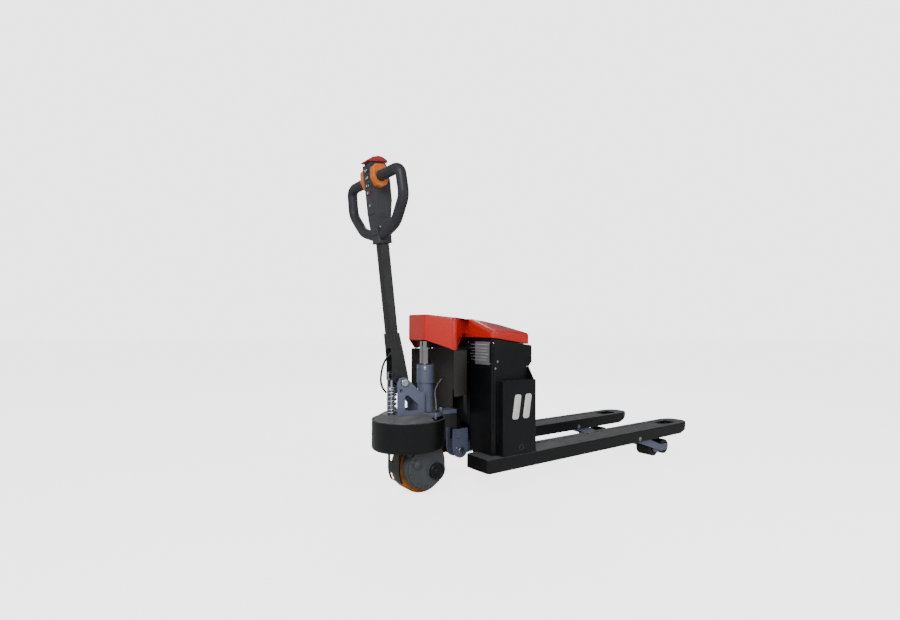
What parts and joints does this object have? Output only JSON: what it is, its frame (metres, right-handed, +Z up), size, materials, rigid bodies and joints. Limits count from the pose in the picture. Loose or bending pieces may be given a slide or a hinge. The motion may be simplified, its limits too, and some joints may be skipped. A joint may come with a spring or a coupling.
{
  "type": "electric pallet jack",
  "caption": "Walk-behind electric pallet truck with two forks, lift cylinder, steered drive wheel, spring-returned tiller with loop grips, and linked load rollers.",
  "frame": {"origin": "bottom centre of the whole truck's bounding box, on the floor", "axes": "+X towards the fork tips, +Y to the truck's left seen from the tiller looking at the forks, +Z up"},
  "size_m": [1.7922, 0.55, 1.3086],
  "materials": {
    "black_paint": "gloss",
    "grey_paint": "satin",
    "gear_grey": "satin",
    "red_cover": "gloss",
    "grey_panel": "matte",
    "shield_brown": "satin",
    "plate": "satin",
    "bare_steel": "satin",
    "chrome_rod": "polished",
    "orange_pu": "satin",
    "roller_pu": "satin",
    "tiller_paint": "satin",
    "head_plastic": "matte",
    "grip_rubber": "matte",
    "orange_plastic": "satin",
    "red_plastic": "gloss",
    "key_plastic": "matte",
    "battery_plastic": "matte",
    "cable_black": "matte",
    "cable_white": "matte",
    "zinc_spring": "satin"
  },
  "bodies": {
    "carrier": {"carrier_collar": "grey_paint", "carrier_link": "grey_paint", "carrier_pin": "bare_steel", "carrier_arm": "black_paint", "white_cable": "cable_white"},
    "chassis": {"left_fork": "black_paint", "right_fork": "black_paint", "fork_pins": "bare_steel", "left_cheek": "black_paint", "right_cheek": "black_paint", "base_frame": "black_paint", "battery_box": "black_paint", "front_shield": "shield_brown", "top_cover": "red_cover", "cover_panel": "grey_panel", "data_plate": "plate", "lift_head": "black_paint", "piston_rod": "chrome_rod", "battery": "battery_plastic", "pump_unit": "bare_steel", "controller": "battery_plastic"},
    "drive": {"drive_skirt": "black_paint", "pedestal": "black_paint", "drive_motor": "black_paint", "gearbox": "black_paint", "gearbox_cover": "gear_grey", "gearbox_cap": "black_paint", "wheel_guard": "black_paint", "lift_cylinder": "grey_paint", "tiller_bracket": "grey_paint", "pivot_pin": "bare_steel"},
    "drive_wheel": {"wheel_hub": "bare_steel", "wheel_tyre": "orange_pu"},
    "tiller": {"tiller_tube": "tiller_paint", "tiller_yoke": "tiller_paint", "head_body": "head_plastic", "control_panel": "head_plastic", "rear_trim": "orange_plastic", "left_grip_loop": "grip_rubber", "right_grip_loop": "grip_rubber", "tiller_cable": "cable_black"},
    "belly_button": {"belly_button": "red_plastic"},
    "left_thumb": {"left_thumb_wheel": "orange_plastic"},
    "right_thumb": {"right_thumb_wheel": "orange_plastic"},
    "spring_guide": {"spring_rod": "bare_steel", "return_spring": "zinc_spring"},
    "rocker": {"rocker_arm": "grey_paint"},
    "push_rods": {"push_rods": "grey_paint"},
    "button_1": {"panel_button_1": "key_plastic"},
    "button_2": {"panel_button_2": "key_plastic"},
    "button_3": {"panel_button_3": "key_plastic"},
    "button_4": {"panel_button_4": "key_plastic"},
    "left_arm": {"left_load_arm": "grey_paint"},
    "left_bogie": {"left_bogie": "grey_paint"},
    "left_roller_front": {"left_roller_front": "roller_pu"},
    "left_roller_rear": {"left_roller_rear": "roller_pu"},
    "right_arm": {"right_load_arm": "grey_paint"},
    "right_bogie": {"right_bogie": "grey_paint"},
    "right_roller_front": {"right_roller_front": "roller_pu"},
    "right_roller_rear": {"right_roller_rear": "roller_pu"}
  },
  "joints": [
    {"name": "lift", "type": "slide", "parent": "carrier", "child": "chassis", "axis": [0, 0, 1], "range_m": [-0.067, 0.048]},
    {"name": "steer", "type": "hinge", "parent": "carrier", "child": "drive", "pos_m": [-0.62091, 0, 0.3], "axis": [0, 0, 1], "range_deg": [-75, 75]},
    {"name": "wheel_spin", "type": "hinge", "parent": "drive", "child": "drive_wheel", "pos_m": [-0.65191, 0, 0.105], "axis": [0, 1, 0], "continuous": true},
    {"name": "tiller_tilt", "type": "hinge", "parent": "drive", "child": "tiller", "pos_m": [-0.74391, 0, 0.443], "axis": [0, -1, 0], "range_deg": [0, 60], "stiffness_Nm_per_rad": 60, "springref_deg": -20.05},
    {"name": "spring_stroke", "type": "slide", "parent": "drive", "child": "spring_guide", "axis": [0, 0, 1], "range_m": [-0.0382, 0.0002], "deforming": ["return_spring"]},
    {"name": "belly_press", "type": "slide", "parent": "tiller", "child": "belly_button", "axis": [0.1184, 0, -0.993], "range_m": [0, 0.005], "stiffness_N_per_m": 900, "springref_m": -0.006},
    {"name": "left_thumb_turn", "type": "hinge", "parent": "tiller", "child": "left_thumb", "pos_m": [-0.85463, 0.04, 1.22448], "axis": [0, 1, 0], "range_deg": [-35, 35], "stiffness_Nm_per_rad": 0.6},
    {"name": "right_thumb_turn", "type": "hinge", "parent": "tiller", "child": "right_thumb", "pos_m": [-0.85463, -0.04, 1.22448], "axis": [0, 1, 0], "range_deg": [-36, 36]},
    {"name": "rocker_turn", "type": "hinge", "parent": "chassis", "child": "rocker", "pos_m": [-0.32191, 0, 0.153], "axis": [0, -1, 0], "range_deg": [-28, 20.5]},
    {"name": "rod_push", "type": "slide", "parent": "chassis", "child": "push_rods", "axis": [1, 0, 0], "range_m": [-0.0082, 0.0062]},
    {"name": "button_1_press", "type": "slide", "parent": "tiller", "child": "button_1", "axis": [0.993, 0, 0.1184], "range_m": [0, 0.0018], "stiffness_N_per_m": 600, "springref_m": -0.002},
    {"name": "button_2_press", "type": "slide", "parent": "tiller", "child": "button_2", "axis": [0.993, 0, 0.1184], "range_m": [0, 0.0018], "stiffness_N_per_m": 600, "springref_m": -0.002},
    {"name": "button_3_press", "type": "slide", "parent": "tiller", "child": "button_3", "axis": [0.993, 0, 0.1184], "range_m": [0, 0.0018], "stiffness_N_per_m": 600, "springref_m": -0.002},
    {"name": "button_4_press", "type": "slide", "parent": "tiller", "child": "button_4", "axis": [0.993, 0, 0.1184], "range_m": [0, 0.0018], "stiffness_N_per_m": 600, "springref_m": -0.002},
    {"name": "left_arm_swing", "type": "hinge", "parent": "chassis", "child": "left_arm", "pos_m": [0.44009, 0.2, 0.1125], "axis": [0, 1, 0], "range_deg": [-19, 14]},
    {"name": "left_bogie_rock", "type": "hinge", "parent": "left_arm", "child": "left_bogie", "pos_m": [0.64669, 0.2, 0.037], "axis": [0, 1, 0], "range_deg": [-14, 19]},
    {"name": "left_roller_front_spin", "type": "hinge", "parent": "left_bogie", "child": "left_roller_front", "pos_m": [0.60169, 0.2, 0.037], "axis": [0, 1, 0], "continuous": true},
    {"name": "left_roller_rear_spin", "type": "hinge", "parent": "left_bogie", "child": "left_roller_rear", "pos_m": [0.69169, 0.2, 0.037], "axis": [0, 1, 0], "continuous": true},
    {"name": "right_arm_swing", "type": "hinge", "parent": "chassis", "child": "right_arm", "pos_m": [0.44009, -0.2, 0.1125], "axis": [0, 1, 0], "range_deg": [-19, 14]},
    {"name": "right_bogie_rock", "type": "hinge", "parent": "right_arm", "child": "right_bogie", "pos_m": [0.64669, -0.2, 0.037], "axis": [0, 1, 0], "range_deg": [-14, 19]},
    {"name": "right_roller_front_spin", "type": "hinge", "parent": "right_bogie", "child": "right_roller_front", "pos_m": [0.60169, -0.2, 0.037], "axis": [0, 1, 0], "continuous": true},
    {"name": "right_roller_rear_spin", "type": "hinge", "parent": "right_bogie", "child": "right_roller_rear", "pos_m": [0.69169, -0.2, 0.037], "axis": [0, 1, 0], "continuous": true}
  ],
  "couplings": [
    {"joint": "spring_stroke", "follows": "tiller_tilt", "m_per_rad": -0.0361},
    {"joint": "right_thumb_turn", "follows": "left_thumb_turn", "ratio": 1},
    {"joint": "rocker_turn", "follows": "lift", "rad_per_m": 6.98},
    {"joint": "rod_push", "follows": "lift", "ratio": 0.1152},
    {"joint": "left_arm_swing", "follows": "lift", "rad_per_m": 4.8},
    {"joint": "left_bogie_rock", "follows": "lift", "rad_per_m": -4.8},
    {"joint": "right_arm_swing", "follows": "lift", "rad_per_m": 4.8},
    {"joint": "right_bogie_rock", "follows": "lift", "rad_per_m": -4.8}
  ]
}
